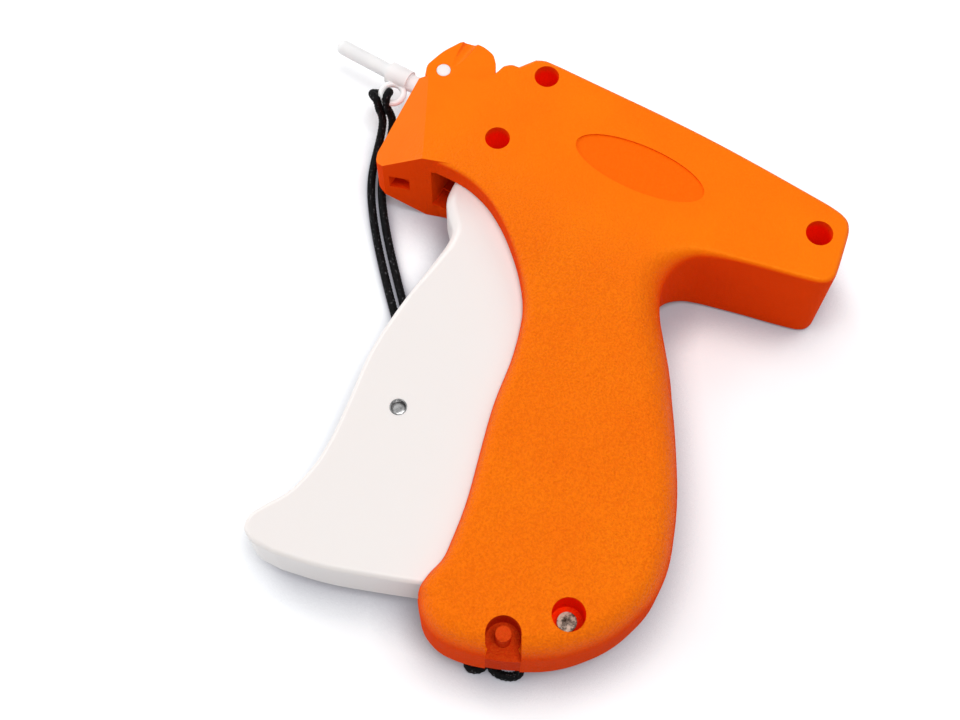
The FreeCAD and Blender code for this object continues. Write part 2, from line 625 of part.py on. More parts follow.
def cord_edges(points, radii):
    """Straight runs and tangent arcs; radii names the corners whose radius is the post's or a fold's own."""
    edges = []
    shown = []
    start = points[0]
    for index in range(1, len(points) - 1):
        before, corner, after = points[index - 1:index + 2]
        back = (before - corner).normalize()
        ahead = (after - corner).normalize()
        half_inside = back.getAngle(ahead) / 2
        reach = 0.45 * min((before - corner).Length, (after - corner).Length)
        if index in radii:
            reach = radii[index] / math.tan(half_inside)
        radius = reach * math.tan(half_inside)
        shown.append(round(radius, 1))
        middle = (back + ahead).normalize()
        centre = corner + middle * math.hypot(reach, radius)
        arc_start = corner + back * reach
        arc_end = corner + ahead * reach
        if (arc_start - start).Length > 0.001:
            edges.append(line(start, arc_start))
        edges.append(Part.Arc(arc_start, centre - middle * radius, arc_end).toShape())
        start = arc_end
    edges.append(line(start, points[-1]))
    print("cord radii", shown)
    return edges


def tube(edges, radius):
    path = Part.Wire(edges)
    start = edges[0].valueAt(edges[0].FirstParameter)
    direction = edges[0].tangentAt(edges[0].FirstParameter)
    ring = Part.Wire(Part.makeCircle(radius, start, direction))
    shape = path.makePipeShell([ring], True, False)
    expected = math.pi * radius ** 2 * path.Length
    print("cord length", round(path.Length, 1), "volume ratio", round(shape.Volume / expected, 4))
    return shape


def cord_points():
    low = size("cord_radius")
    lift = WIDTH - GRIP_TOP + 3.6
    turn = size("post_radius") + size("cord_radius") + 0.05
    side = NOTCH_SIDE * turn
    post = Vector(LANYARD_POST)
    outside = NOTCH_OUT * 6.5
    front = [(-36.02, -0.34, 12.3), (-34.42, -6.24, 8.8), (-32.1, -13.7, 3.8), (-27.7, -20.9, low),
             (-16.4, -32.9, low), (-0.4, -48.4, low), (16.1, -63.4, low), (32.1, -77.8, low),
             (46.0, -89.8, low), (57.0, -100.2, low)]
    back = [(61.0, -96.5, low), (48.0, -86.4, low), (33.9, -75.2, low), (17.9, -61.6, low),
            (1.4, -46.6, low), (-14.6, -31.1, low), (-25.9, -19.1, low), (-29.7, -12.7, 3.8),
            (-32.02, -5.24, 8.8), (-33.62, 1.16, 12.6)]
    fold = [post - side + outside + Vector(0, 0, low), post - side + outside + Vector(0, 0, lift),
            post - side - NOTCH_OUT * turn + Vector(0, 0, lift),
            post + side - NOTCH_OUT * turn + Vector(0, 0, lift),
            post + side + outside + Vector(0, 0, lift), post + side + outside + Vector(0, 0, low)]
    points = [Vector(*p) for p in front] + fold + [Vector(*p) for p in back]
    fold_radius = 0.45 * (lift - low)
    radii = {10: fold_radius, 11: fold_radius, 12: turn, 13: turn, 14: fold_radius, 15: fold_radius}
    return points, radii


def hitch_shape():
    """The turn of cord that grips the cap's ring, plain."""
    outer = EYELET + Vector(-size("eyelet_radius") * 0.77, -size("eyelet_radius") * 0.64, 0)
    along_ring = Vector(0.64, -0.77, 0).normalize()
    turn = size("eyelet_wire") + size("cord_radius") + 0.3
    shape = None
    for shift in (-1, 1):
        centre = outer + along_ring * (shift * size("cord_radius") * 0.48)
        loop = Part.makeTorus(turn, size("cord_radius"), centre, along_ring)
        shape = loop if shape is None else shape.fuse(loop)
    bar = Part.makeCylinder(size("cord_radius"), 4.4, outer + Vector(-0.6, -2.0, -2.2), Vector(0.15, -0.1, 1))
    return shape.fuse(bar)


# Build the document

half_block = rounded_outside()
keep("left_casing", shell(half_block, 1))
keep("right_casing", mirrored(shell(half_block, -1)))
keep("trigger", trigger_shape())
keep("drive_lever", lever_shape())
keep("case_screws", Part.makeCompound([screw(centre, floor) for centre, _, floor in HOLES]))
keep("return_spring", spring_shape())
keep("needle_hub", hub_shape())
keep("needle_cap", cap_shape())
keep("needle_lock_lever", lock_lever_shape())
keep("lanyard_cord", tube(cord_edges(*cord_points()), size("cord_radius")))
keep("lanyard_hitch", hitch_shape())


# Pins: a cylinder each, sizes bound to the sheet

def upright(centre, low):
    return FreeCAD.Placement(Vector(centre.x, centre.y, low), FreeCAD.Rotation())


LYING = FreeCAD.Rotation(Vector(0, 1, 0), 90)
trigger_low = MID - size("trigger_width") / 2
pivot_low = WIDTH - GRIP_TOP + PIN_SKIN
cylinder("trigger_cross_pin", "Sizes.rivet_radius", "Sizes.trigger_width", upright(RIVET, trigger_low))
cylinder("drive_pin", "Sizes.drive_pin_radius", "Sizes.trigger_width - Sizes.trigger_wall",
         upright(DRIVE_PIN, trigger_low + size("trigger_wall") / 2))
cylinder("lever_pivot_pin", "Sizes.pivot_radius", "Sizes.casing_width - 2 * Sizes.grip_inset - 2.4",
         upright(LEVER_PIVOT, pivot_low))
cylinder("slide_pin", "Sizes.slide_pin_radius", "Sizes.slide_width",
         upright(SLIDE_PIN, MID - size("slide_width") / 2))
cylinder("push_rod", "Sizes.rod_radius", "Sizes.rod_length",
         FreeCAD.Placement(Vector(-4, AXIS, MID), LYING))
wheel_low = MID + 2
pin_low = wheel_low - 0.3


def headed_pin(name, centre):
    """A steel pin with a thin head that keeps a wheel or pawl on it."""
    shank = cylinder(name + "_shank", "Sizes.axle_radius", "Sizes.casing_width / 2 - 2.9",
                     upright(centre, pin_low))
    head = cylinder(name + "_head", "Sizes.axle_radius + 0.9", "0.6 mm", upright(centre, pin_low - 0.6))
    whole = doc.addObject("Part::Fuse", name)
    whole.Label = name
    whole.Base = shank
    whole.Tool = head


headed_pin("feed_wheel_axle", WHEEL_AXIS)
headed_pin("pawl_pin", PAWL_AXIS)


# Needle: a tube with a slot along its lower side for the tag's filament

def needle_piece():
    start = FreeCAD.Placement(Vector(-24 - size("needle_length"), AXIS, MID), LYING)
    outer = cylinder("needle_outer", "Sizes.needle_radius", "Sizes.needle_length", start)
    bore = cylinder("needle_bore", "Sizes.needle_bore_radius", "Sizes.needle_length", start)
    barrel = doc.addObject("Part::Cut", "needle_tube")
    barrel.Base = outer
    barrel.Tool = bore
    slot = doc.addObject("Part::Box", "needle_slot")
    slot.setExpression("Length", "Sizes.needle_length")
    slot.setExpression("Height", "Sizes.needle_radius / 2")
    slot.setExpression("Width", "Sizes.needle_radius * 1.5")
    slot.Placement = FreeCAD.Placement(
        Vector(-24 - size("needle_length"), AXIS - size("needle_radius") * 1.6, MID - size("needle_radius") / 4),
        FreeCAD.Rotation())
    needle = doc.addObject("Part::Cut", "needle")
    needle.Label = "needle"
    needle.Base = barrel
    needle.Tool = slot


needle_piece()


# Slide: a block that carries the push rod, open behind for the lever's fork

def slide_piece():
    front = SLIDE_PIN.x - 12
    corner = Vector(front, AXIS - size("slide_height") / 2, MID - size("slide_width") / 2)
    solid = doc.addObject("Part::Box", "slide_block")
    solid.setExpression("Length", "Sizes.slide_length")
    solid.setExpression("Width", "Sizes.slide_height")
    solid.setExpression("Height", "Sizes.slide_width")
    solid.Placement = FreeCAD.Placement(corner, FreeCAD.Rotation())
    room = doc.addObject("Part::Box", "slide_room")
    room.setExpression("Length", "Sizes.slide_length")
    room.setExpression("Width", "Sizes.slide_height + 2")
    room.setExpression("Height", "Sizes.lever_thickness + 0.8")
    room.Placement = FreeCAD.Placement(
        Vector(front + 4.6, corner.y - 1, MID - size("lever_thickness") / 2 - 0.4), FreeCAD.Rotation())
    open_block = doc.addObject("Part::Cut", "slide_open")
    open_block.Base = solid
    open_block.Tool = room
    pin_way = cylinder("slide_pin_way", "Sizes.slide_pin_radius", "Sizes.slide_width",
                       upright(SLIDE_PIN, MID - size("slide_width") / 2))
    pinned = doc.addObject("Part::Cut", "slide_pinned")
    pinned.Base = open_block
    pinned.Tool = pin_way
    rod_way = cylinder("slide_rod_way", "Sizes.rod_radius", "Sizes.rod_length",
                       FreeCAD.Placement(Vector(-4, AXIS, MID), LYING))
    whole = doc.addObject("Part::Cut", "slide")
    whole.Label = "slide"
    whole.Base = pinned
    whole.Tool = rod_way


slide_piece()


# Feed wheel, pawl and knife: bodies with one pad each

def draw_wheel(sketch):
    teeth = 12
    tip = size("wheel_radius")
    root = tip - 1.1
    corners = []
    for tooth in range(teeth):
        for radius, share in ((root, 0.0), (tip, 0.35), (tip, 0.5)):
            angle = 2 * math.pi * (tooth + share) / teeth
            corners.append(Vector(radius * math.cos(angle), radius * math.sin(angle), 0))
    for start, end in zip(corners, corners[1:] + corners[:1]):
        sketch.addGeometry(Part.LineSegment(start, end), False)
    bore = size("axle_radius") + size("running_gap")
    sketch.addGeometry(Part.Circle(Vector(0, 0, 0), Vector(0, 0, 1), bore), False)


def draw_pawl(sketch):
    tip = Vector(4.3, AXIS + 5.2, 0) - PAWL_AXIS
    along = Vector(tip).normalize()
    across = Vector(-along.y, along.x, 0)
    eye = 2.2
    nose = 0.9
    left = [across * eye, tip + across * nose]
    right = [tip - across * nose, across * -eye]
    sketch.addGeometry(Part.LineSegment(left[0], left[1]), False)
    sketch.addGeometry(Part.LineSegment(left[1], right[0]), False)
    sketch.addGeometry(Part.LineSegment(right[0], right[1]), False)
    back = Part.Arc(right[1], along * -eye, left[0])
    sketch.addGeometry(back, False)
    bore = size("axle_radius") + size("running_gap")
    sketch.addGeometry(Part.Circle(Vector(0, 0, 0), Vector(0, 0, 1), bore), False)


def draw_knife(sketch):
    corners = [Vector(0, 0, 0), Vector(0.6, 0, 0), Vector(0.6, 4.7, 0), Vector(0, 4.2, 0)]
    for start, end in zip(corners, corners[1:] + corners[:1]):
        sketch.addGeometry(Part.LineSegment(start, end), False)


wheel = body_pad("feed_wheel", draw_wheel, 0, "Sizes.wheel_thickness")
wheel.Placement = upright(WHEEL_AXIS, wheel_low)
pawl = body_pad("feed_pawl", draw_pawl, 0, "Sizes.wheel_thickness")
pawl.Placement = upright(PAWL_AXIS, wheel_low)
knife = body_pad("knife_blade", draw_knife, 0, "5 mm")
knife.Placement = upright(Vector(CHANNEL_FRONT - 0.6, AXIS - 6.0, 0), MID - 2.5)
doc.recompute()

NODES = [
    "left_casing", "right_casing", "trigger", "trigger_cross_pin", "drive_pin", "drive_lever",
    "lever_pivot_pin", "slide", "slide_pin", "push_rod", "return_spring", "needle", "needle_hub",
    "needle_lock_lever", "needle_cap", "feed_wheel", "feed_wheel_axle", "feed_pawl", "pawl_pin",
    "knife_blade", "case_screws", "lanyard_cord", "lanyard_hitch",
]

for item in doc.Objects:
    if "Invalid" in item.State or "Error" in item.State:
        raise RuntimeError("%s failed: %s" % (item.Name, item.State))

shapes = {}
for node in NODES:
    shape = doc.getObject(node).Shape
    if shape.isNull() or not shape.isValid() or shape.Volume <= 0:
        raise RuntimeError(node + " has no sound shape")
    shapes[node] = shape

os.makedirs("parts", exist_ok=True)
for node, shape in shapes.items():
    shape.exportStep("parts/%s.step" % node)
    box = shape.BoundBox
    print("%-18s %d solid %9.1f mm3  x %6.1f %6.1f  y %6.1f %6.1f  z %5.1f %5.1f" % (
        node, len(shape.Solids), shape.Volume, box.XMin, box.XMax, box.YMin, box.YMax, box.ZMin, box.ZMax))
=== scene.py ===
import math

import bmesh
import bpy
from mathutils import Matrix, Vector


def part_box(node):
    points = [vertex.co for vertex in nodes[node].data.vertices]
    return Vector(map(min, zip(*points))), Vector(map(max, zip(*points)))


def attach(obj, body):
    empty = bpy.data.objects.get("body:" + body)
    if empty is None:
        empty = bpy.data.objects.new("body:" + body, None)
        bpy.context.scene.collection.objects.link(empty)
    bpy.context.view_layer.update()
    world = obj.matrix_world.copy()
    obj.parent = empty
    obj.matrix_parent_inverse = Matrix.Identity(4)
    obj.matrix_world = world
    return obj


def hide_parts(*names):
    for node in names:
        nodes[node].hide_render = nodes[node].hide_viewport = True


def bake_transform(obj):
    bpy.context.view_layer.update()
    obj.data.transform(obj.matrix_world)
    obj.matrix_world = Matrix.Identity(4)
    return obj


# Garment tag attacher lying on a white table, in metres, in the CAD frame

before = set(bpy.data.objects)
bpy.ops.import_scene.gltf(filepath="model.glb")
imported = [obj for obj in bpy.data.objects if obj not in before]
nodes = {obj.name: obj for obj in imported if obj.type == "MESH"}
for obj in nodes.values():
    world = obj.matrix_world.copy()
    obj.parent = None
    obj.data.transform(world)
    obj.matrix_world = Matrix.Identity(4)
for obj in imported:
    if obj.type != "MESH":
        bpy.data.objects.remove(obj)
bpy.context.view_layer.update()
print("frame loaded,", len(nodes), "nodes")


# Small helpers

def deselectAll():
    if bpy.context.object and bpy.context.object.mode != "OBJECT":
        bpy.ops.object.mode_set(mode="OBJECT")
    bpy.ops.object.select_all(action="DESELECT")


def makeActive(piece):
    deselectAll()
    piece.select_set(True)
    bpy.context.view_layer.objects.active = piece


# the body is a name to tie the piece to; with a dictionary the piece is tied to none and keeps its place in
# its mesh
def finishPiece(piece, name, material, body, slot, *replaced):
    makeActive(piece)
    bpy.ops.object.transform_apply(location=True, rotation=True, scale=True)
    piece.name = name
    piece.data.name = name
    piece.data.materials.clear()
    piece.data.materials.append(material)
    if isinstance(body, dict):
        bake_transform(piece)
    else:
        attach(piece, body)
    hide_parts(*replaced)
    return piece


def smoothShading(piece, angle):
    makeActive(piece)
    bpy.ops.object.shade_smooth_by_angle(angle=math.radians(angle))
    weighted = piece.modifiers.new("weighted", "WEIGHTED_NORMAL")
    weighted.keep_sharp = True
    weighted.weight = 80               # 50 is even, more lets large faces lead
    bpy.ops.object.modifier_apply(modifier=weighted.name)


# Material helpers

def newMaterial(name):
    material = bpy.data.materials.new(name)
    material.use_nodes = True
    tree = material.node_tree
    return material, tree, tree.nodes["Principled BSDF"]


def objectPlace(tree):
    return tree.nodes.new("ShaderNodeTexCoord").outputs["Object"]


def splitVector(tree, vector):
    node = tree.nodes.new("ShaderNodeSeparateXYZ")
    tree.links.new(vector, node.inputs[0])
    return node.outputs


def noise(tree, coordinates, scale, detail, roughness=0.5):
    node = tree.nodes.new("ShaderNodeTexNoise")
    node.inputs["Scale"].default_value = scale
    node.inputs["Detail"].default_value = detail
    node.inputs["Roughness"].default_value = roughness
    tree.links.new(coordinates, node.inputs["Vector"])
    return node.outputs["Fac"]


def setOrLink(tree, socket, value):
    if isinstance(value, (int, float, tuple)):
        socket.default_value = value
    else:
        tree.links.new(value, socket)


def maths(tree, operation, *values):
    node = tree.nodes.new("ShaderNodeMath")
    node.operation = operation
    for socket, value in zip(node.inputs, values):
        setOrLink(tree, socket, value)
    return node.outputs[0]


def mapRange(tree, value, fromLow, fromHigh, toLow, toHigh):
    node = tree.nodes.new("ShaderNodeMapRange")
    node.interpolation_type = "SMOOTHSTEP"
    node.inputs["From Min"].default_value = fromLow
    node.inputs["From Max"].default_value = fromHigh
    node.inputs["To Min"].default_value = toLow
    node.inputs["To Max"].default_value = toHigh
    tree.links.new(value, node.inputs["Value"])
    return node.outputs["Result"]


# share 0 gives the first colour, 1 the second
def mixColour(tree, share, first, second):
    node = tree.nodes.new("ShaderNodeMix")
    node.data_type = "RGBA"
    setOrLink(tree, node.inputs[0], share)
    setOrLink(tree, node.inputs[6], first)
    setOrLink(tree, node.inputs[7], second)
    return node.outputs[2]


def bump(tree, shader, height, distance):
    node = tree.nodes.new("ShaderNodeBump")
    node.inputs["Distance"].default_value = distance
    node.inputs["Strength"].default_value = 1.0
    tree.links.new(height, node.inputs["Height"])
    tree.links.new(node.outputs["Normal"], shader.inputs["Normal"])


def softInside(shader, weight, radius, scale):
    shader.inputs["Subsurface Weight"].default_value = weight
    shader.inputs["Subsurface Radius"].default_value = radius
    shader.inputs["Subsurface Scale"].default_value = scale


# Orange plastic of casing and lock lever

orangeLook = {
    "top": (0.93, 0.162, 0.002, 1),        # the lit copy, on faces towards the light
    "paler": (0.95, 0.185, 0.002, 1),
    "side": (0.9, 0.058, 0.001, 1),        # painted shade: a darker, redder copy on faces turned to the side
    "inside": (0.6, 0.02, 0.0, 1),         # painted shade: darker floors inside the shells, seen through the slots
    "notch": (0.62, 0.035, 0.004, 1),      # painted shade on the walls of the lanyard notch, with a faint painted glow
    "label": (0.93, 0.128, 0.001, 1),      # floor of the bare oval recess
    "well": (0.9, 0.012, 0.0, 1),          # painted light: walls of the screw wells, red and glowing as if light came through the plastic
    "pit": (0.6, 0.05, 0.0, 1),            # low spots of the grain
    "paintedShadeTurn": (0.1, 0.97),              # the normal's height where the sides' painted shade starts and ends
    "floorTurn": (0.4, 0.6),               # and where a face counts as a floor
    "insideHeight": (0.0185, 0.0175),      # a floor below this is inside the shells
    "wellGlow": 0.13,
    "notchGlow": 0.03,
    "cloudScale": 60,
    "cloudRange": (0.2, 0.8),
    "grainScale": 1900,                    # spark texture, about 0.5 mm
    "coarser": 2.6,                        # a second grain, this many times coarser
    "coarseShare": 0.6,
    "grainRange": (0.3, 0.7),
    "pitRange": (0.34, 0.66),
    "grainHeight": 0.0004,
    "grainTone": 0.3,                      # how far the pits darken the colour
    "smoothBarrel": (0.006, -0.024),       # y where the grain is weak, and where it is full
    "smoothNose": (-0.022, -0.002),        # the same along x
    "weakGrain": 0.2,
    "roughness": (0.36, 0.5),
    "sideRoughness": 0.35,                 # added on the sides
    "roughTurn": (0.2, 0.8),               # the normal's height from where it is added to where it isn't
    "shine": (1.0, 0.45, 0.05, 1),         # tint of the plastic's reflection
    "shineLevel": (0.03, 0.5),             # on the sides and on top
    "shineTurn": (0.2, 0.9),
    "subsurface": (0.06, (1.0, 0.25, 0.05), 0.001),
}
labelPlace = {
    "centre": (0.034, 0.011),
    "half": (0.017, 0.0063),
    "turn": 4.5,
    "above": 0.0283,                       # the recess's floor lies higher than this
    "rim": (0.97, 1.02),                   # where the colour fades out, 1 at the edge
}

# each round is its centre's x and y and its radius; the painted red and glow fade in from the top down
barrelWells = {"rounds": [(0.0, 0.0, 0.0031), (0.0013, 0.0218, 0.0031), (0.0796, 0.0179, 0.0033)],
               "top": 0.0283, "fade": 0.0028}
gripWell = {"rounds": [(0.0746, -0.0929, 0.0038)], "top": 0.0268, "fade": 0.0012}
lanyardNotch = {"rounds": [(0.0646, -0.1039, 0.00395), (0.0668, -0.1075, 0.00395)],
                "top": 0.0268, "fade": 0.0004}
wallMargin = 0.00004                       # so that the wall itself counts as inside


# one inside the rounds and below the casing's face, zero elsewhere
def roundMask(tree, place, wells):
    total = None
    for x, y, radius in wells["rounds"]:
        across = maths(tree, "SUBTRACT", place["X"], x)
        along = maths(tree, "SUBTRACT", place["Y"], y)
        squares = maths(tree, "MULTIPLY_ADD", across, across, maths(tree, "MULTIPLY", along, along))
        inside = maths(tree, "LESS_THAN", maths(tree, "SQRT", squares), radius + wallMargin)
        total = inside if total is None else maths(tree, "MAXIMUM", total, inside)
    below = mapRange(tree, place["Z"], wells["top"], wells["top"] - wells["fade"], 0.0, 1.0)
    return maths(tree, "MULTIPLY", total, below)


# one on the floor of the oval recess
def labelMask(tree, place):
    turn = math.radians(labelPlace["turn"])
    across = maths(tree, "SUBTRACT", place["X"], labelPlace["centre"][0])
    up = maths(tree, "SUBTRACT", place["Y"], labelPlace["centre"][1])
    along = maths(tree, "MULTIPLY_ADD", across, math.cos(turn), maths(tree, "MULTIPLY", up, math.sin(turn)))
    side = maths(tree, "MULTIPLY_ADD", up, math.cos(turn), maths(tree, "MULTIPLY", across, -math.sin(turn)))
    first = maths(tree, "DIVIDE", along, labelPlace["half"][0])
    second = maths(tree, "DIVIDE", side, labelPlace["half"][1])
    far = maths(tree, "MULTIPLY_ADD", first, first, maths(tree, "MULTIPLY", second, second))
    inside = mapRange(tree, far, *labelPlace["rim"], 1.0, 0.0)
    return maths(tree, "MULTIPLY", inside, maths(tree, "GREATER_THAN", place["Z"], labelPlace["above"]))


def makeOrange():
    look = orangeLook
    material, tree, shader = newMaterial("orangeSparkPlastic")
    spot = objectPlace(tree)
    place = splitVector(tree, spot)
    normal = splitVector(tree, tree.nodes.new("ShaderNodeNewGeometry").outputs["Normal"])
    level = maths(tree, "ABSOLUTE", normal["Z"])

    # top and side, the side darker as painted shade, then the recess, the floors inside darker as painted
    # shade, and the notch and the wells in painted red light
    cloud = noise(tree, spot, look["cloudScale"], detail=3)
    cloud = mapRange(tree, cloud, *look["cloudRange"], 0.0, 1.0)
    tone = mixColour(tree, cloud, look["top"], look["paler"])
    colour = mixColour(tree, mapRange(tree, level, *look["paintedShadeTurn"], 0.0, 1.0), look["side"], tone)
    colour = mixColour(tree, labelMask(tree, place), colour, look["label"])
    # painted shade: upward floors deep in the shells take the darker inside colour
    upward = mapRange(tree, normal["Z"], *look["floorTurn"], 0.0, 1.0)
    deep = mapRange(tree, place["Z"], *look["insideHeight"], 0.0, 1.0)
    colour = mixColour(tree, maths(tree, "MULTIPLY", upward, deep), colour, look["inside"])
    inNotch = roundMask(tree, place, lanyardNotch)
    inWell = maths(tree, "MAXIMUM", roundMask(tree, place, barrelWells), roundMask(tree, place, gripWell))
    colour = mixColour(tree, inNotch, colour, look["notch"])
    colour = mixColour(tree, inWell, colour, look["well"])

    # grain, strongest on the grip
    grain = noise(tree, spot, look["grainScale"], detail=2, roughness=0.6)
    coarse = noise(tree, spot, look["grainScale"] / look["coarser"], detail=1)
    both = maths(tree, "MULTIPLY_ADD", coarse, look["coarseShare"], grain)
    onGrip = mapRange(tree, place["Y"], *look["smoothBarrel"], look["weakGrain"], 1.0)
    behindNose = mapRange(tree, place["X"], *look["smoothNose"], look["weakGrain"], 1.0)
    where = maths(tree, "MULTIPLY", onGrip, behindNose)
    pits = maths(tree, "MULTIPLY", mapRange(tree, grain, *look["pitRange"], 1.0, 0.0), where)
    colour = mixColour(tree, maths(tree, "MULTIPLY", pits, look["grainTone"]), colour, look["pit"])
    tree.links.new(colour, shader.inputs["Base Color"])
    bump(tree, shader, maths(tree, "MULTIPLY", both, where), look["grainHeight"])

    # painted light: the wells, and faintly the notch, glow red though they are no lamp
    glow = maths(tree, "MULTIPLY", inNotch, look["notchGlow"])
    glow = maths(tree, "MULTIPLY_ADD", inWell, look["wellGlow"], glow)
    tree.links.new(glow, shader.inputs["Emission Strength"])
    shader.inputs["Emission Color"].default_value = look["well"]
    rough = mapRange(tree, level, *look["roughTurn"], look["sideRoughness"], 0.0)
    rough = maths(tree, "ADD", rough, mapRange(tree, grain, *look["grainRange"], *look["roughness"]))
    tree.links.new(rough, shader.inputs["Roughness"])
    shine = mapRange(tree, level, *look["shineTurn"], *look["shineLevel"])
    tree.links.new(shine, shader.inputs["Specular IOR Level"])
    shader.inputs["Specular Tint"].default_value = look["shine"]
    softInside(shader, *look["subsurface"])
    return material


# Smooth plastics, which differ only in their values

whiteLook = {                              # trigger
    "colours": ((0.83, 0.785, 0.765, 1), (0.825, 0.777, 0.755, 1)),
    "cloud": (45, 3),                      # scale and detail
    "cloudRange": (0.1, 0.9),
    "grainScale": 900,
    "grainHeight": 0.000006,
    "roughness": (0.28, 0.34),
    "subsurface": (0.15, (1.0, 0.9, 0.8), 0.0015),
}
tipLook = {                                # needle seat and cap
    "colours": ((0.86, 0.85, 0.85, 1), (0.9, 0.89, 0.88, 1)),
    "cloud": (120, 2),
    "cloudRange": (0.3, 0.7),
    "grainScale": 1500,
    "grainHeight": 0.000005,
    "roughness": (0.28, 0.38),
    "subsurface": (0.35, (1.0, 0.95, 0.9), 0.002),
}
innerLook = {                              # levers and wheels inside
    "colours": ((0.72, 0.71, 0.66, 1), (0.78, 0.77, 0.73, 1)),
    "cloud": (150, 3),
    "cloudRange": (0.3, 0.7),
    "grainScale": 1200,
    "grainHeight": 0.00001,
    "roughness": (0.4, 0.5),
}


def makeSmoothPlastic(name, look):
    material, tree, shader = newMaterial(name)
    spot = objectPlace(tree)
    cloud = noise(tree, spot, *look["cloud"])
    share = mapRange(tree, cloud, *look["cloudRange"], 0.0, 1.0)
    tree.links.new(mixColour(tree, share, *look["colours"]), shader.inputs["Base Color"])
    bump(tree, shader, noise(tree, spot, look["grainScale"], detail=2), look["grainHeight"])
    rough = mapRange(tree, cloud, *look["cloudRange"], *look["roughness"])
    tree.links.new(rough, shader.inputs["Roughness"])
    if "subsurface" in look:
        softInside(shader, *look["subsurface"])
    return material


# Steel: pins and needle, the rivet's sunk walls in painted shade, and the screws deep in their wells with a
# painted orange reflection

steelLooks = {
    "brightSteel": {"dark": (0.56, 0.56, 0.57, 1), "bright": (0.8, 0.8, 0.8, 1), "roughness": (0.16, 0.32)},
    "shadedSteel": {"dark": (0.05, 0.05, 0.05, 1), "bright": (0.16, 0.15, 0.15, 1), "roughness": (0.3, 0.45)},
    # painted reflection: the screws' steel is tinted brown, as if it reflected the orange walls
    "screwSteelPaintedReflection": {"dark": (0.05, 0.028, 0.02, 1), "bright": (0.42, 0.32, 0.26, 1), "roughness": (0.2, 0.34)},
}
steelGrain = {"cloudScale": 500, "toneRange": (0.35, 0.65), "roughRange": (0.3, 0.7),
              "fineScale": 2600, "height": 0.000008}


def makeSteel(name):
    look = steelLooks[name]
    material, tree, shader = newMaterial(name)
    spot = objectPlace(tree)
    cloud = noise(tree, spot, steelGrain["cloudScale"], detail=4, roughness=0.6)
    share = mapRange(tree, cloud, *steelGrain["toneRange"], 0.0, 1.0)
    colour = mixColour(tree, share, look["dark"], look["bright"])
    tree.links.new(colour, shader.inputs["Base Color"])
    shader.inputs["Metallic"].default_value = 1.0
    rough = mapRange(tree, cloud, *steelGrain["roughRange"], *look["roughness"])
    tree.links.new(rough, shader.inputs["Roughness"])
    bump(tree, shader, noise(tree, spot, steelGrain["fineScale"], detail=2), steelGrain["height"])
    return material


# Black braid, on the cord's own UV map

braidLook = {
    "colours": ((0.001, 0.001, 0.0012, 1), (0.006, 0.006, 0.007, 1)),
    "paintedGlint": (0.16, 0.16, 0.17, 1),        # painted highlight, where a strand catches the light
    "paintedGlintScale": 3.2,
    "paintedGlintRange": (0.62, 0.72),
    "paintedGlintShare": 0.5,
    "fibreScale": 6,
    "fibreHeight": 0.00012,
    "fibreRange": (0.3, 0.7),
    "roughness": (0.5, 0.7),
    "shineLevel": 0.1,
}


def makeBlackCord():
    look = braidLook
    material, tree, shader = newMaterial("blackBraid")
    along = tree.nodes.new("ShaderNodeUVMap")
    along.uv_map = "strand"
    fibre = noise(tree, along.outputs["UV"], look["fibreScale"], detail=3, roughness=0.6)
    # painted highlight: lighter flecks at the noise's peaks
    paintedGlint = noise(tree, along.outputs["UV"], look["paintedGlintScale"], detail=1)
    share = mapRange(tree, paintedGlint, *look["paintedGlintRange"], 0.0, look["paintedGlintShare"])
    colour = mixColour(tree, share, mixColour(tree, fibre, *look["colours"]), look["paintedGlint"])
    tree.links.new(colour, shader.inputs["Base Color"])
    bump(tree, shader, fibre, look["fibreHeight"])
    rough = mapRange(tree, fibre, *look["fibreRange"], *look["roughness"])
    tree.links.new(rough, shader.inputs["Roughness"])
    shader.inputs["Specular IOR Level"].default_value = look["shineLevel"]
    return material


orange = makeOrange()
white = makeSmoothPlastic("whiteTriggerPlastic", whiteLook)
tip = makeSmoothPlastic("paleTipPlastic", tipLook)
inner = makeSmoothPlastic("naturalInnerPlastic", innerLook)
steel = makeSteel("brightSteel")
shadedSteel = makeSteel("shadedSteel")
screwSteelPaintedReflection = makeSteel("screwSteelPaintedReflection")
blackCord = makeBlackCord()
print("materials made")


# Camera, floor and lights

cameraView = {"place": (0.0945, -0.1623, 0.339), "tilt": 22.5, "turn": 31.53, "lens": 54.375, "sensor": 36,
              "nearest": 0.01}
floorLook = {
    "side": 6.0,
    "colour": (0.8, 0.82, 0.84, 1),
    "glow": 0.3,                           # only camera, glossy and transmission rays see it
    "reach": 0.014,                        # how far the painted contact shadow goes
    "samples": 8,
    "openSky": (0.45, 1.0),                # how open the sky is in the shadow's core and outside it
    "dark": (0.36, 0.36, 0.4, 1),          # painted shadow: colour of the shadow's core
    "roughness": 0.7,
    "shineLevel": 0.1,
}
lamps = {
    "leftPanel": {"place": (-0.95, 0.35, 0.75), "aim": (0.03, -0.04, 0.0), "side": 0.7, "watts": 5.5},
    "topPanel": {"place": (0.3, -0.15, 1.3), "aim": (0.03, -0.04, 0.0), "side": 0.45, "watts": 8.6},
    "leftFill": {"place": (-0.7, -0.6, 0.45), "aim": (0.0, -0.03, 0.0), "side": 0.5, "watts": 2.4},
    "rearPanel": {"place": (0.5, 0.75, 0.8), "aim": (0.03, -0.04, 0.0), "side": 0.6, "watts": 2.0},
}
roomLight = {"fill": 0.3, "seen": 1.0}     # what lights the object, and what the camera sees


def makeCamera():
    bpy.ops.object.camera_add(location=cameraView["place"])
    camera = bpy.context.object
    camera.name = "photoCamera"
    camera.rotation_euler = (math.radians(cameraView["tilt"]), 0, math.radians(cameraView["turn"]))
    camera.data.lens = cameraView["lens"]
    camera.data.sensor_width = cameraView["sensor"]
    camera.data.clip_start = cameraView["nearest"]
    bpy.context.scene.camera = camera


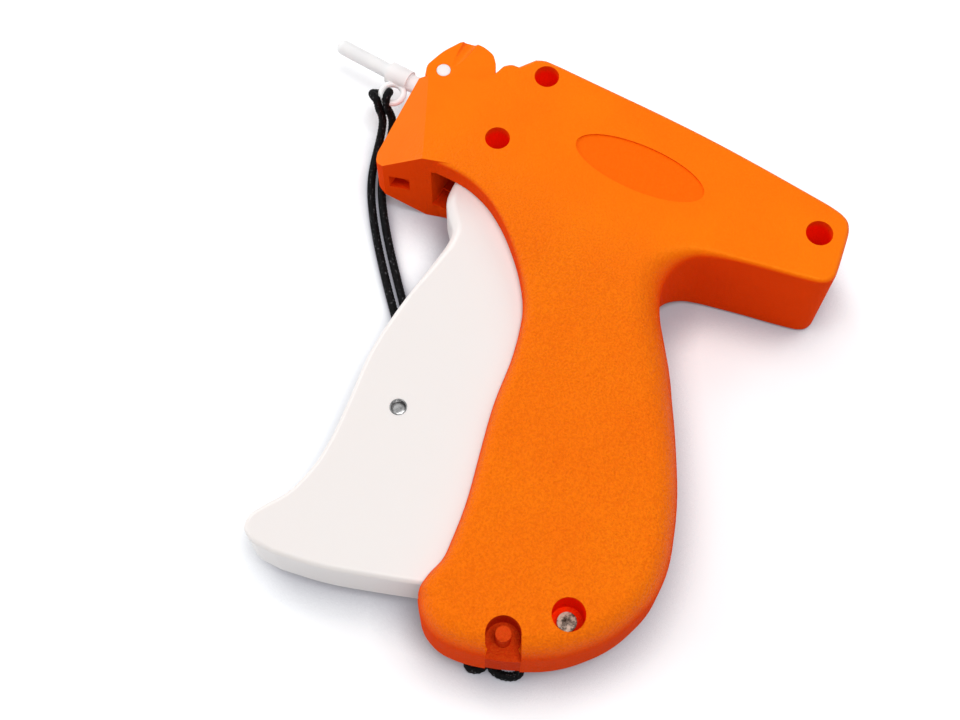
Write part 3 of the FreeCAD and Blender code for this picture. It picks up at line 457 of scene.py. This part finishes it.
def makeFloor():
    look = floorLook
    deselectAll()
    bpy.ops.mesh.primitive_plane_add(size=look["side"], location=(0, 0, 0))
    floor = bpy.context.object
    floor.name = "tableTop"
    material, tree, shader = newMaterial("paleTable")
    # painted contact shadow: occlusion darkens the table's colour and glow near the object
    near = tree.nodes.new("ShaderNodeAmbientOcclusion")
    near.samples = look["samples"]
    near.inputs["Distance"].default_value = look["reach"]
    openSky = mapRange(tree, near.outputs["AO"], *look["openSky"], 0.0, 1.0)
    tree.links.new(mixColour(tree, openSky, look["dark"], look["colour"]), shader.inputs["Base Color"])
    shader.inputs["Roughness"].default_value = look["roughness"]
    shader.inputs["Specular IOR Level"].default_value = look["shineLevel"]
    glow = tree.nodes.new("ShaderNodeEmission")
    tree.links.new(mixColour(tree, openSky, look["dark"], (1, 1, 1, 1)), glow.inputs["Color"])
    glow.inputs["Strength"].default_value = look["glow"]
    nothing = tree.nodes.new("ShaderNodeEmission")
    nothing.inputs["Strength"].default_value = 0.0
    rays = tree.nodes.new("ShaderNodeLightPath")
    seen = maths(tree, "MAXIMUM", rays.outputs["Is Camera Ray"], rays.outputs["Is Glossy Ray"])
    seen = maths(tree, "MAXIMUM", seen, rays.outputs["Is Transmission Ray"])
    choose = tree.nodes.new("ShaderNodeMixShader")
    tree.links.new(seen, choose.inputs[0])
    tree.links.new(nothing.outputs[0], choose.inputs[1])
    tree.links.new(glow.outputs[0], choose.inputs[2])
    both = tree.nodes.new("ShaderNodeAddShader")
    tree.links.new(shader.outputs[0], both.inputs[0])
    tree.links.new(choose.outputs[0], both.inputs[1])
    tree.links.new(both.outputs[0], tree.nodes["Material Output"].inputs["Surface"])
    floor.data.materials.append(material)


def makeLamps():
    for name, values in lamps.items():
        bpy.ops.object.light_add(type="AREA", location=values["place"])
        lamp = bpy.context.object
        lamp.name = name
        lamp.data.shape = "SQUARE"
        lamp.data.size = values["side"]
        lamp.data.energy = values["watts"]
        aim = Vector(values["aim"]) - Vector(values["place"])
        lamp.rotation_euler = aim.to_track_quat("-Z", "Y").to_euler()


def makeRoomLight():
    world = bpy.context.scene.world or bpy.data.worlds.new("softRoom")
    bpy.context.scene.world = world
    world.use_nodes = True
    tree = world.node_tree
    fill = tree.nodes["Background"]
    fill.inputs["Color"].default_value = (1, 1, 1, 1)
    fill.inputs["Strength"].default_value = roomLight["fill"]
    seen = tree.nodes.new("ShaderNodeBackground")
    seen.inputs["Strength"].default_value = roomLight["seen"]
    rays = tree.nodes.new("ShaderNodeLightPath")
    choose = tree.nodes.new("ShaderNodeMixShader")
    tree.links.new(rays.outputs["Is Camera Ray"], choose.inputs[0])
    tree.links.new(fill.outputs[0], choose.inputs[1])
    tree.links.new(seen.outputs[0], choose.inputs[2])
    tree.links.new(choose.outputs[0], tree.nodes["World Output"].inputs["Surface"])


makeCamera()
makeFloor()
makeLamps()
makeRoomLight()
bpy.context.scene.view_settings.view_transform = "Standard"
print("camera, floor and light made")


# Lanyard: one braided cord, doubled, with its turn round the lower post

cordLook = {
    "diameter": 0.0021,
    "length": 0.3384,
    "swell": 1.09,                         # crests of the braid over the plain radius
    "depth": 0.24,                         # depth of the hollows, as a share of the radius
    "crest": 0.5,                          # lower is a flatter crest
    "plaits": 6,
    "pitch": 0.0056,
    "sides": 24,
    "step": 0.0002,
    "routeSteps": 24,                      # points of the line for each point of the route
}
frontStrand = [
    (-0.0361, -0.0001, 0.0124), (-0.0352, 0.0002, 0.0094), (-0.0344, -0.0021, 0.0058),
    (-0.0336, -0.0056, 0.0028), (-0.0323, -0.0099, 0.0012), (-0.0302, -0.0143, 0.00115),
    (-0.0270, -0.0192, 0.00115), (-0.0215, -0.0259, 0.00115), (-0.0145, -0.0333, 0.00115),
    (-0.0065, -0.0412, 0.00115), (0.0001, -0.0473, 0.00115), (0.0161, -0.0630, 0.00115),
    (0.0321, -0.0777, 0.00115), (0.0460, -0.0898, 0.00115), (0.0546, -0.0990, 0.00115),
]
backStrand = [
    (0.0606, -0.0975, 0.00115), (0.0480, -0.0864, 0.00115), (0.0339, -0.0752, 0.00115),
    (0.0179, -0.0612, 0.00115), (0.0014, -0.0449, 0.00115), (-0.0044, -0.0392, 0.00115),
    (-0.0087, -0.0350, 0.00115), (-0.0150, -0.0287, 0.00115), (-0.0207, -0.0225, 0.00115),
    (-0.0253, -0.0168, 0.00115), (-0.0281, -0.0124, 0.00115), (-0.0301, -0.0080, 0.0013),
    (-0.0314, -0.0037, 0.0028), (-0.0325, 0.0001, 0.0056), (-0.0333, 0.0016, 0.0092),
    (-0.0342, 0.0010, 0.0126),
]
# the turn round the post and the two bights that show beside the grip's foot,
# each point to the right of the post, outwards from it and up
post = {"place": (0.0646, -0.1039, 0.0), "right": (0.853, 0.522, 0.0), "out": (0.522, -0.853, 0.0)}
footFold = [
    (-0.0078, -0.0010, 0.00115), (-0.0080, 0.0026, 0.00115), (-0.0060, 0.0032, 0.00115),
    (-0.0042, 0.0026, 0.0014), (-0.0030, 0.0004, 0.0036), (-0.00285, -0.00285, 0.0060),
    (0.00285, -0.00285, 0.0060), (0.0029, 0.0014, 0.0052), (0.0046, 0.0036, 0.0024),
    (0.0030, 0.0049, 0.00115), (-0.0004, 0.0045, 0.00115), (-0.0028, 0.0026, 0.00115),
    (-0.0022, -0.0010, 0.00115),
]
# the strands' two bodies, the cap near the ring and the casing, with a start point and an end point
cordPull = {
    "bodies": ("needle_cap", "casing"),
    "start": (-0.0335, -0.004, 0.006),
    "end": (-0.008, -0.038, 0.001),
}


# points given along two directions and up become places
def placePoints(origin, first, second, points):
    first = Vector(first).normalized()
    second = Vector(second).normalized()
    return [Vector(origin) + first * a + second * b + Vector((0, 0, z)) for a, b, z in points]


# the line of the NURBS curve through a route's control points
def routeLine(name, points):
    curve = bpy.data.curves.new(name + "Route", "CURVE")
    curve.dimensions = "3D"
    curve.resolution_u = cordLook["routeSteps"]
    spline = curve.splines.new("NURBS")
    spline.points.add(len(points) - 1)
    for point, place in zip(spline.points, points):
        point.co = (*place, 1)
    spline.order_u = 3
    spline.use_endpoint_u = True
    route = bpy.data.objects.new(name + "Route", curve)
    bpy.context.scene.collection.objects.link(route)
    bpy.context.view_layer.update()
    mesh = bpy.data.meshes.new_from_object(route.evaluated_get(bpy.context.evaluated_depsgraph_get()))
    line = [vertex.co.copy() for vertex in mesh.vertices]
    bpy.data.meshes.remove(mesh)
    bpy.data.objects.remove(route)
    return line


# the same line with its points one step apart
def evenLine(line, step):
    lengths = [0.0]
    for before, after in zip(line, line[1:]):
        lengths.append(lengths[-1] + (after - before).length)
    count = round(lengths[-1] / step)
    spaced = []
    index = 0
    for number in range(count + 1):
        want = lengths[-1] * number / count
        while index < len(line) - 2 and lengths[index + 1] < want:
            index += 1
        span = max(lengths[index + 1] - lengths[index], 1e-9)
        spaced.append(line[index].lerp(line[index + 1], (want - lengths[index]) / span))
    return spaced


# height of the braid's surface at a share of the way round, for a turn of the plaits
def braidHeight(share, turn):
    left = math.sin(math.pi * cordLook["plaits"] * (share + turn))
    right = math.sin(math.pi * cordLook["plaits"] * (share - turn))
    return 1 - cordLook["depth"] * (1 - abs(left * right) ** cordLook["crest"])


# u and v both run in cord diameters, so the pattern isn't stretched
def mapStrand(mesh, sides, places):
    layer = mesh.uv_layers.new(name="strand")
    for polygon in mesh.polygons:
        corners = [mesh.loops[index].vertex_index for index in polygon.loop_indices]
        rounds = {corner % sides for corner in corners}
        closes = len(corners) == 4 and 0 in rounds and sides - 1 in rounds
        for index, corner in zip(polygon.loop_indices, corners):
            u, v = places[corner]
            if closes and corner % sides == 0:
                v += math.pi
            layer.data[index].uv = (u, v)


def braidedTube(name, line):
    line = evenLine(line, cordLook["step"])
    sides = cordLook["sides"]
    radius = cordLook["diameter"] / 2 * cordLook["swell"]
    verts = []
    places = []
    across = None
    travelled = 0.0
    for number, place in enumerate(line):
        before = line[max(number - 1, 0)]
        after = line[min(number + 1, len(line) - 1)]
        along = (after - before).normalized()
        if across is None:
            across = along.orthogonal().normalized()
        across = (across - along * across.dot(along)).normalized()
        other = along.cross(across)
        travelled += (place - before).length
        for side in range(sides):
            share = side / sides
            angle = 2 * math.pi * share
            height = braidHeight(share, travelled / cordLook["pitch"])
            verts.append(place + (across * math.cos(angle) + other * math.sin(angle)) * radius * height)
            places.append((travelled / cordLook["diameter"], share * math.pi))
    faces = []
    for start in range(0, (len(line) - 1) * sides, sides):
        for side in range(sides):
            nextSide = (side + 1) % sides
            faces.append((start + side, start + nextSide, start + sides + nextSide, start + sides + side))
    faces.append(tuple(range(sides - 1, -1, -1)))
    faces.append(tuple(range(len(verts) - sides, len(verts))))
    mesh = bpy.data.meshes.new(name)
    mesh.from_pydata([tuple(vertex) for vertex in verts], [], faces)
    mapStrand(mesh, sides, places)
    mesh.validate()
    tube = bpy.data.objects.new(name, mesh)
    bpy.context.scene.collection.objects.link(tube)
    makeActive(tube)
    bpy.ops.object.shade_smooth()
    return tube, line


def makeLanyard():
    fold = placePoints(post["place"], post["right"], post["out"], footFold)
    line = routeLine("lanyard", frontStrand + fold + backStrand)
    cord, path = braidedTube("lanyardCord", line)
    finishPiece(cord, "lanyardCord", blackCord, cordPull, "black_cord", "lanyard_cord")
    print("lanyard line", round(sum((b - a).length for a, b in zip(path, path[1:])) * 1000, 1), "mm")
    return cord, path


# Hitch of the cord on the cap's ring

hitchLook = {
    "ring": (-0.0349, 0.0047, 0.0145),
    "ringRadius": 0.0029,
    "outward": (-0.77, -0.64, 0),          # from the ring's middle to the cord
    "along": (0.64, -0.77, 0),
}
# each point outwards from the ring's wire, down along it and up
hitchTurns = [
    (0.0012, 0.0022, 0.0010), (0.0021, 0.0006, 0.0008), (0.0024, -0.0012, -0.0004),
    (0.0015, -0.0022, -0.0022), (0.0, -0.0022, -0.0026), (-0.0015, -0.0020, -0.0022),
    (-0.0023, -0.0008, -0.0002), (-0.0018, 0.0008, 0.0016), (-0.0008, 0.0026, 0.0016),
]


def makeHitch():
    wire = Vector(hitchLook["ring"]) + Vector(hitchLook["outward"]).normalized() * hitchLook["ringRadius"]
    turns = placePoints(wire, hitchLook["outward"], hitchLook["along"], hitchTurns)
    line = routeLine("hitch", [frontStrand[0], *turns, backStrand[-1]])
    piece = braidedTube("lanyardHitch", line)[0]
    return finishPiece(piece, "lanyardHitch", blackCord, "needle_cap", "black_cord", "lanyard_hitch")


cord, cordPath = makeLanyard()
hitch = makeHitch()
print("lanyard made")


# Lock lever with its finger scoop

leverLook = {
    "scoopLow": (-0.0232, 0.0173, 0.0019),   # x and y, and the height over the lever's face
    "scoopHigh": (-0.0233, 0.0248, 0.0007),
    "scoopRadius": 0.0019,
    "scoopReach": 2.4,                     # the cutter's length over the distance of the two points
    "sides": 64,
    "merge": 0.000002,
    "bevel": 0.0004,
    "bevelSteps": 3,
    "bevelAngle": 40,
    "smoothAngle": 30,
}


# a copy of the CAD lever, with its loose triangles joined
def copyLever():
    piece = nodes["needle_lock_lever"].copy()
    piece.data = nodes["needle_lock_lever"].data.copy()
    for key in list(piece.keys()):
        if key.startswith("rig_"):
            del piece[key]
    piece.parent = None
    bpy.context.scene.collection.objects.link(piece)
    makeActive(piece)
    bpy.ops.mesh.customdata_custom_splitnormals_clear()
    bpy.ops.object.mode_set(mode="EDIT")
    bpy.ops.mesh.select_all(action="SELECT")
    bpy.ops.mesh.remove_doubles(threshold=leverLook["merge"])
    bpy.ops.object.mode_set(mode="OBJECT")
    return piece


def makeLockLever():
    piece = copyLever()
    face = Vector((0, 0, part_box("needle_lock_lever")[1][2]))
    low = Vector(leverLook["scoopLow"]) + face
    high = Vector(leverLook["scoopHigh"]) + face
    aim = high - low
    bpy.ops.mesh.primitive_cylinder_add(
        vertices=leverLook["sides"], radius=leverLook["scoopRadius"],
        depth=aim.length * leverLook["scoopReach"], location=(low + high) / 2,
        rotation=aim.to_track_quat("Z", "Y").to_euler())
    cutter = bpy.context.object
    scoop = piece.modifiers.new("scoop", "BOOLEAN")
    scoop.operation = "DIFFERENCE"
    scoop.object = cutter
    scoop.solver = "EXACT"
    makeActive(piece)
    bpy.ops.object.modifier_apply(modifier=scoop.name)
    bpy.data.objects.remove(cutter)
    edge = piece.modifiers.new("edge", "BEVEL")
    edge.width = leverLook["bevel"]
    edge.segments = leverLook["bevelSteps"]
    edge.limit_method = "ANGLE"
    edge.angle_limit = math.radians(leverLook["bevelAngle"])
    bpy.ops.object.modifier_apply(modifier=edge.name)
    smoothShading(piece, leverLook["smoothAngle"])
    finishPiece(piece, "lockLever", orange, "lock_lever", "orange_casing", "needle_lock_lever")


# Rivet of the trigger: a tube with a sunk floor at each end

rivetLook = {
    "place": (0.0159, -0.0706, 0.0145),
    "sides": 64,
    "radius": 0.00204,
    "length": 0.0159,
    "wall": 0.00026,
    "slope": 0.00008,                      # the wall's inner side leans by this
    "sunk": 0.0010,
    "ledge": 0.0009,                       # width of the slope up to the floor's middle
    "dome": 0.00025,                       # how far the middle stands up
    "inner": 0.97,                         # a wall within this share of the radius is an inner one
    "smoothAngle": 35,
}


# selects the flat end that faces up or down
def selectEnd(piece, direction):
    bpy.ops.mesh.select_all(action="DESELECT")
    mesh = bmesh.from_edit_mesh(piece.data)
    for face in mesh.faces:
        face.select_set(face.normal.z * direction > 0.9)
    bmesh.update_edit_mesh(piece.data)


def makeRivet():
    deselectAll()
    bpy.ops.mesh.primitive_cylinder_add(vertices=rivetLook["sides"], radius=rivetLook["radius"],
                                        depth=rivetLook["length"], location=rivetLook["place"])
    piece = bpy.context.object
    bpy.ops.object.mode_set(mode="EDIT")
    bpy.ops.mesh.select_mode(type="FACE")
    for direction in (1, -1):
        selectEnd(piece, direction)
        bpy.ops.mesh.inset(thickness=rivetLook["wall"])
        bpy.ops.mesh.inset(thickness=rivetLook["slope"])
        bpy.ops.transform.translate(value=(0, 0, -direction * rivetLook["sunk"]))
        bpy.ops.mesh.inset(thickness=rivetLook["ledge"])
        bpy.ops.transform.translate(value=(0, 0, direction * rivetLook["dome"]))
    bpy.ops.object.mode_set(mode="OBJECT")
    smoothShading(piece, rivetLook["smoothAngle"])
    finishPiece(piece, "rivetPin", steel, "trigger", "steel", "trigger_cross_pin")
    shadeSunkWalls(piece)


# the steep walls of the two hollows get the darker steel, as painted shade
def shadeSunkWalls(piece):
    piece.data.materials.append(shadedSteel)
    centre = Vector(rivetLook["place"])
    for face in piece.data.polygons:
        away = face.center - centre
        steep = abs(face.normal.z) < 0.6
        within = math.hypot(away.x, away.y) < rivetLook["radius"] * rivetLook["inner"]
        face.material_index = 1 if steep and within else 0


makeLockLever()
makeRivet()
print("lever and rivet made")


# Casing, trigger and the small pieces that keep their CAD shape

nodeFinishes = {
    "left_casing": orange, "right_casing": orange,
    "trigger": white, "needle_hub": tip, "needle_cap": tip,
    "drive_lever": inner, "slide": inner, "feed_wheel": inner, "feed_pawl": inner,
    "drive_pin": steel, "lever_pivot_pin": steel, "slide_pin": steel,
    "push_rod": steel, "return_spring": steel, "needle": steel, "feed_wheel_axle": steel,
    "pawl_pin": steel, "knife_blade": steel, "case_screws": screwSteelPaintedReflection,
}
for nodeName, material in nodeFinishes.items():
    nodes[nodeName].data.materials.clear()
    nodes[nodeName].data.materials.append(material)
print("pieces made")
